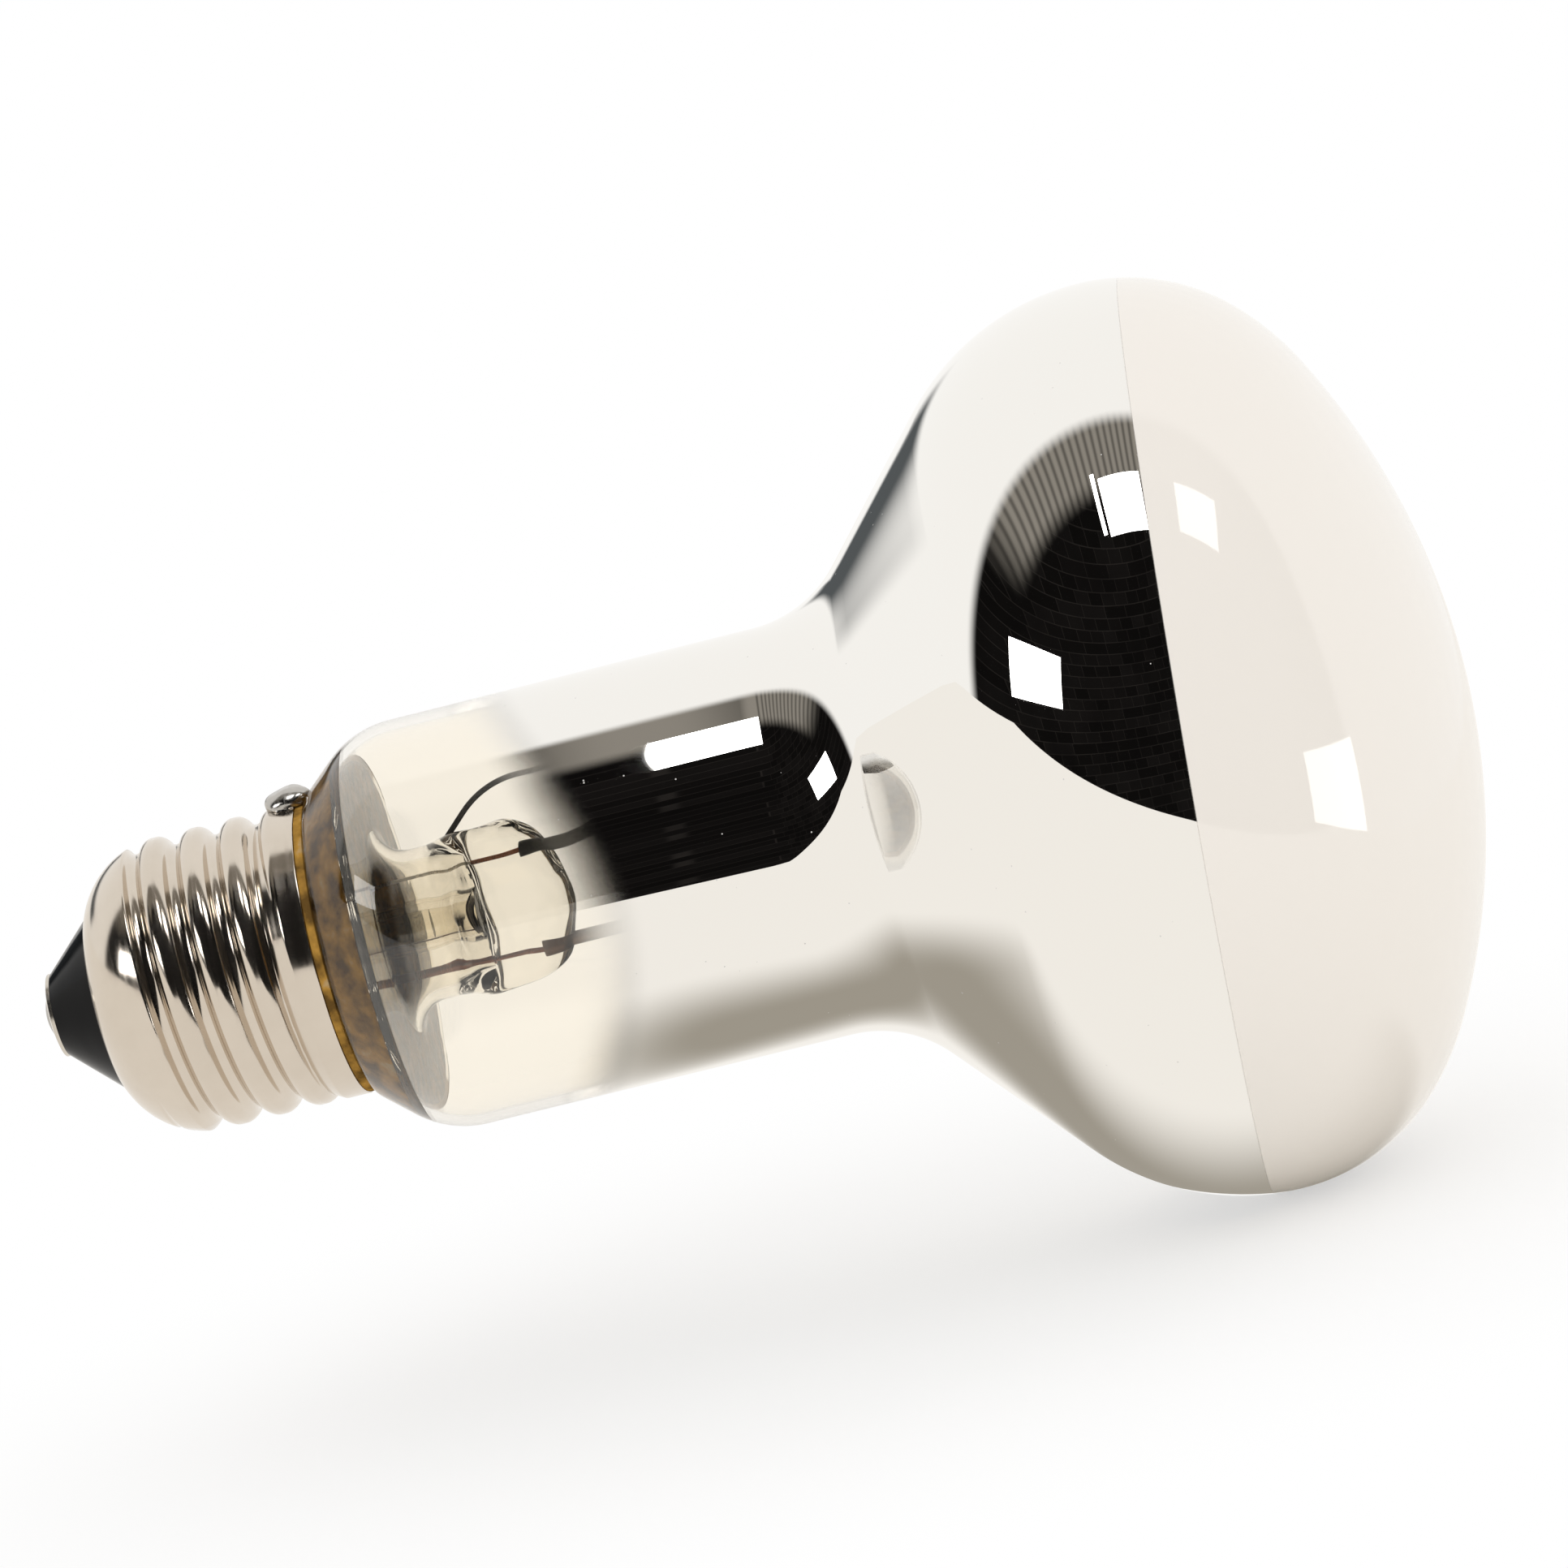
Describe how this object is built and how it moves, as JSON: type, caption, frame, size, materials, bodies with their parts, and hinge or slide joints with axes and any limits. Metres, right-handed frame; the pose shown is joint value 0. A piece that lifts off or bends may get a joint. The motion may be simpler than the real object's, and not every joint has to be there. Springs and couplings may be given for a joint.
{
  "type": "basking bulb",
  "caption": "Screw-cap reflector bulb for basking animals: clear glass neck over a pinched stem, mirrored bell, frosted face, and a small quartz burner inside.",
  "frame": {"origin": "tip of the centre contact, on the lamp's axis, where the lampholder's spring contact touches", "axes": "+X runs along the lamp's axis from the cap to the face, +Z is the side of the solder on the rim, and the lead wires lie in the XZ plane"},
  "size_m": [0.1269, 0.08, 0.08],
  "materials": {
    "bulb_glass": "blown soda-lime glass, mirrored inside the bell and frosted inside the face",
    "stem_glass": "pressed clear glass",
    "cap_metal": "rolled brass sheet with bright nickel plate",
    "black_glass": "black vitrite glass, glossy",
    "contact_metal": "nickel-plated brass disc",
    "solder": "soft solder, dull",
    "cement": "brown baked capping cement",
    "copper_wire": "copper-clad wire",
    "tinned_wire": "fine tinned wire",
    "dark_wire": "oxidised nickel-iron wire",
    "bronze_wire": "oxidised bronze-coloured wire",
    "nickel": "nickel wire and strip",
    "quartz": "clear fused quartz",
    "tungsten": "drawn tungsten",
    "molybdenum": "molybdenum foil and wire",
    "resistor_ceramic": "glazed ceramic body"
  },
  "bodies": {
    "root": {"glass_envelope": "bulb_glass", "glass_stem": "stem_glass", "exhaust_tube": "stem_glass", "cap_shell": "cap_metal", "cap_insulator": "black_glass", "centre_contact": "contact_metal", "tip_solder": "solder", "rim_solder": "solder", "capping_cement": "cement", "outer_lead_centre": "copper_wire", "outer_lead_rim": "tinned_wire", "seal_wire_upper": "copper_wire", "seal_wire_lower": "copper_wire", "inner_lead_upper": "dark_wire", "inner_lead_lower": "bronze_wire", "support_wire": "dark_wire", "frame_wire": "nickel", "arc_tube": "quartz", "front_electrode": "tungsten", "rear_electrode": "tungsten", "front_foil": "molybdenum", "rear_foil": "molybdenum", "front_pinch_lead": "molybdenum", "rear_pinch_lead": "molybdenum", "front_strap": "nickel", "rear_strap": "nickel", "starting_probe": "tungsten", "starting_resistor": "resistor_ceramic", "ballast_filament": "tungsten"}
  },
  "joints": []
}
